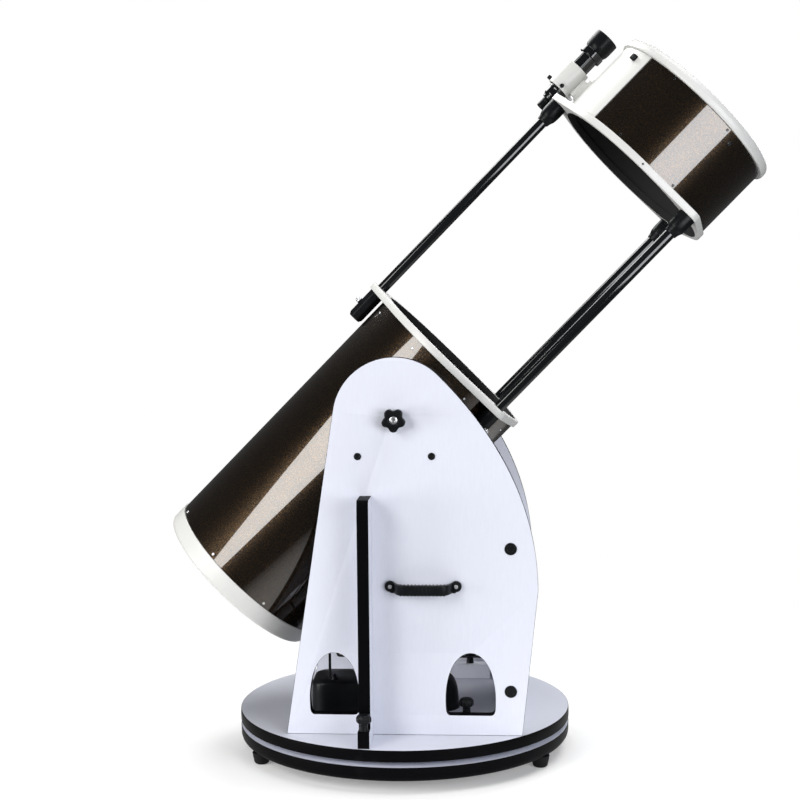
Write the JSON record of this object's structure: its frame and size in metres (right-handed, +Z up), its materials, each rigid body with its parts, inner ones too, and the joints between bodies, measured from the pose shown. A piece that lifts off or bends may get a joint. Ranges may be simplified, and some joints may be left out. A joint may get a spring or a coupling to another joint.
{
  "type": "dobsonian telescope",
  "caption": "Open-strut reflector telescope on a turning rocker base: altitude trunnions, sliding struts, focuser, finder and tension knob.",
  "frame": {"origin": "middle of the object's footprint, on the floor", "axes": "+Z up, +X towards the open end of the tube, -Y the side with the tension knob and carry handle"},
  "size_m": [1.3708, 0.772, 1.6613],
  "materials": {
    "laminate": "satin white laminate on board with black edging",
    "edged_board": "laminated board with black edging",
    "white_cast": "satin white paint on casting",
    "tube_paint": "gloss dark metallic paint with fine flake",
    "black_metal": "satin black",
    "black_plastic": "satin black",
    "rubber": "matt black",
    "steel": "bright plated",
    "mirror_glass": "front-aluminised glass"
  },
  "bodies": {
    "ground": {"ground_board": "edged_board", "foot_left": "rubber", "foot_right": "rubber", "foot_rear": "rubber", "azimuth_bearing_ring": "black_plastic", "pivot_bolt": "steel"},
    "rocker": {"turntable_board": "laminate", "side_panel_near": "laminate", "side_panel_far": "laminate", "front_board": "laminate", "brace_near": "laminate", "brace_far": "laminate", "cleat_near": "laminate", "cleat_far": "laminate", "carry_handle": "black_plastic", "azimuth_drive_cover": "black_plastic", "azimuth_motor": "black_plastic", "altitude_drive": "black_plastic"},
    "lower_tube": {"lower_tube": "tube_paint", "rear_ring": "white_cast", "mirror_cell": "black_metal", "primary_mirror": "mirror_glass", "lower_tube_ring": "white_cast", "strut_guide_top": "black_plastic", "strut_guide_near": "black_plastic", "strut_guide_far": "black_plastic", "trunnion_near": "black_metal", "trunnion_far": "black_metal"},
    "upper_tube": {"strut_top": "black_metal", "strut_near": "black_metal", "strut_far": "black_metal", "strut_cap_top": "black_plastic", "strut_cap_near": "black_plastic", "strut_cap_far": "black_plastic", "upper_tube_ring": "white_cast", "upper_tube": "tube_paint", "top_ring": "white_cast", "focuser_plate": "white_cast", "focuser_body": "black_metal", "spider": "black_metal", "secondary_mirror": "mirror_glass", "secondary_holder": "black_metal", "finder_bracket": "white_cast", "finder_tube": "black_metal", "finder_eyepiece": "black_plastic"},
    "brace_knob_near": {"brace_knob_near": "black_plastic"},
    "brace_knob_far": {"brace_knob_far": "black_plastic"},
    "cleat_knob_near": {"cleat_knob_near": "black_plastic"},
    "cleat_knob_far": {"cleat_knob_far": "black_plastic"},
    "tension_knob": {"tension_knob": "black_plastic"},
    "collimation_knob_1": {"collimation_knob_1": "black_plastic"},
    "collimation_knob_2": {"collimation_knob_2": "black_plastic"},
    "collimation_knob_3": {"collimation_knob_3": "black_plastic"},
    "strut_lock_knob_top": {"strut_lock_knob_top": "steel"},
    "strut_lock_knob_near": {"strut_lock_knob_near": "steel"},
    "strut_lock_knob_far": {"strut_lock_knob_far": "steel"},
    "drawtube": {"drawtube": "steel"},
    "focus_knobs": {"focus_knobs": "black_metal"},
    "finder_dew_shield": {"finder_dew_shield": "black_plastic"},
    "finder_screw": {"finder_screw": "black_plastic"}
  },
  "joints": [
    {"name": "azimuth_turn", "type": "hinge", "parent": "ground", "child": "rocker", "pos_m": [-0.14576, 0, 0.06], "axis": [0, 0, 1], "continuous": true},
    {"name": "altitude_tilt", "type": "hinge", "parent": "rocker", "child": "lower_tube", "pos_m": [-0.14576, 0, 0.7854], "axis": [0, -1, 0], "range_deg": [-45.35, 44.65]},
    {"name": "tube_collapse", "type": "slide", "parent": "lower_tube", "child": "upper_tube", "axis": [0.7028, 0, 0.7114], "range_m": [-0.525, 0]},
    {"name": "tension_knob_turn", "type": "hinge", "parent": "lower_tube", "child": "tension_knob", "pos_m": [-0.14576, -0.285, 0.7854], "axis": [0, -1, 0], "continuous": true},
    {"name": "drawtube_slide", "type": "slide", "parent": "upper_tube", "child": "drawtube", "axis": [-0.334, 0.8829, 0.3299], "range_m": [0, 0.04]},
    {"name": "focus_knob_turn", "type": "hinge", "parent": "upper_tube", "child": "focus_knobs", "pos_m": [0.35644, 0.19524, 1.49113], "axis": [0.7028, 0, 0.7114], "range_deg": [0, 764]},
    {"name": "strut_lock_top_turn", "type": "hinge", "parent": "lower_tube", "child": "strut_lock_knob_top", "pos_m": [-0.24279, 0, 1.04291], "axis": [-0.7114, 0, 0.7028], "continuous": true},
    {"name": "strut_lock_near_turn", "type": "hinge", "parent": "lower_tube", "child": "strut_lock_knob_near", "pos_m": [0.04938, -0.19151, 0.75428], "axis": [0.4573, -0.766, -0.4517], "continuous": true},
    {"name": "strut_lock_far_turn", "type": "hinge", "parent": "lower_tube", "child": "strut_lock_knob_far", "pos_m": [0.04938, 0.19151, 0.75428], "axis": [0.4573, 0.766, -0.4517], "continuous": true},
    {"name": "brace_knob_near_turn", "type": "hinge", "parent": "rocker", "child": "brace_knob_near", "pos_m": [-0.20976, -0.3638, 0.14], "axis": [0, 0, 1], "continuous": true},
    {"name": "cleat_knob_near_turn", "type": "hinge", "parent": "rocker", "child": "cleat_knob_near", "pos_m": [0.00524, -0.227, 0.14], "axis": [0, 0, 1], "continuous": true},
    {"name": "brace_knob_far_turn", "type": "hinge", "parent": "rocker", "child": "brace_knob_far", "pos_m": [-0.20976, 0.3638, 0.14], "axis": [0, 0, 1], "continuous": true},
    {"name": "cleat_knob_far_turn", "type": "hinge", "parent": "rocker", "child": "cleat_knob_far", "pos_m": [0.00524, 0.227, 0.14], "axis": [0, 0, 1], "continuous": true},
    {"name": "collimation_1_turn", "type": "hinge", "parent": "lower_tube", "child": "collimation_knob_1", "pos_m": [-0.58916, -0.1299, 0.44327], "axis": [0.7028, 0, 0.7114], "continuous": true},
    {"name": "collimation_2_turn", "type": "hinge", "parent": "lower_tube", "child": "collimation_knob_2", "pos_m": [-0.42909, 0, 0.28515], "axis": [0.7028, 0, 0.7114], "continuous": true},
    {"name": "collimation_3_turn", "type": "hinge", "parent": "lower_tube", "child": "collimation_knob_3", "pos_m": [-0.58916, 0.1299, 0.44327], "axis": [0.7028, 0, 0.7114], "continuous": true},
    {"name": "dew_shield_turn", "type": "hinge", "parent": "upper_tube", "child": "finder_dew_shield", "pos_m": [0.3199, 0.0551, 1.62562], "axis": [0.7028, 0, 0.7114], "continuous": true},
    {"name": "finder_screw_turn", "type": "hinge", "parent": "upper_tube", "child": "finder_screw", "pos_m": [0.20278, 0.06237, 1.55578], "axis": [-0.6959, 0.2079, 0.6874], "continuous": true}
  ],
  "couplings": [
    {"joint": "focus_knob_turn", "follows": "drawtube_slide", "rad_per_m": 333.33}
  ]
}
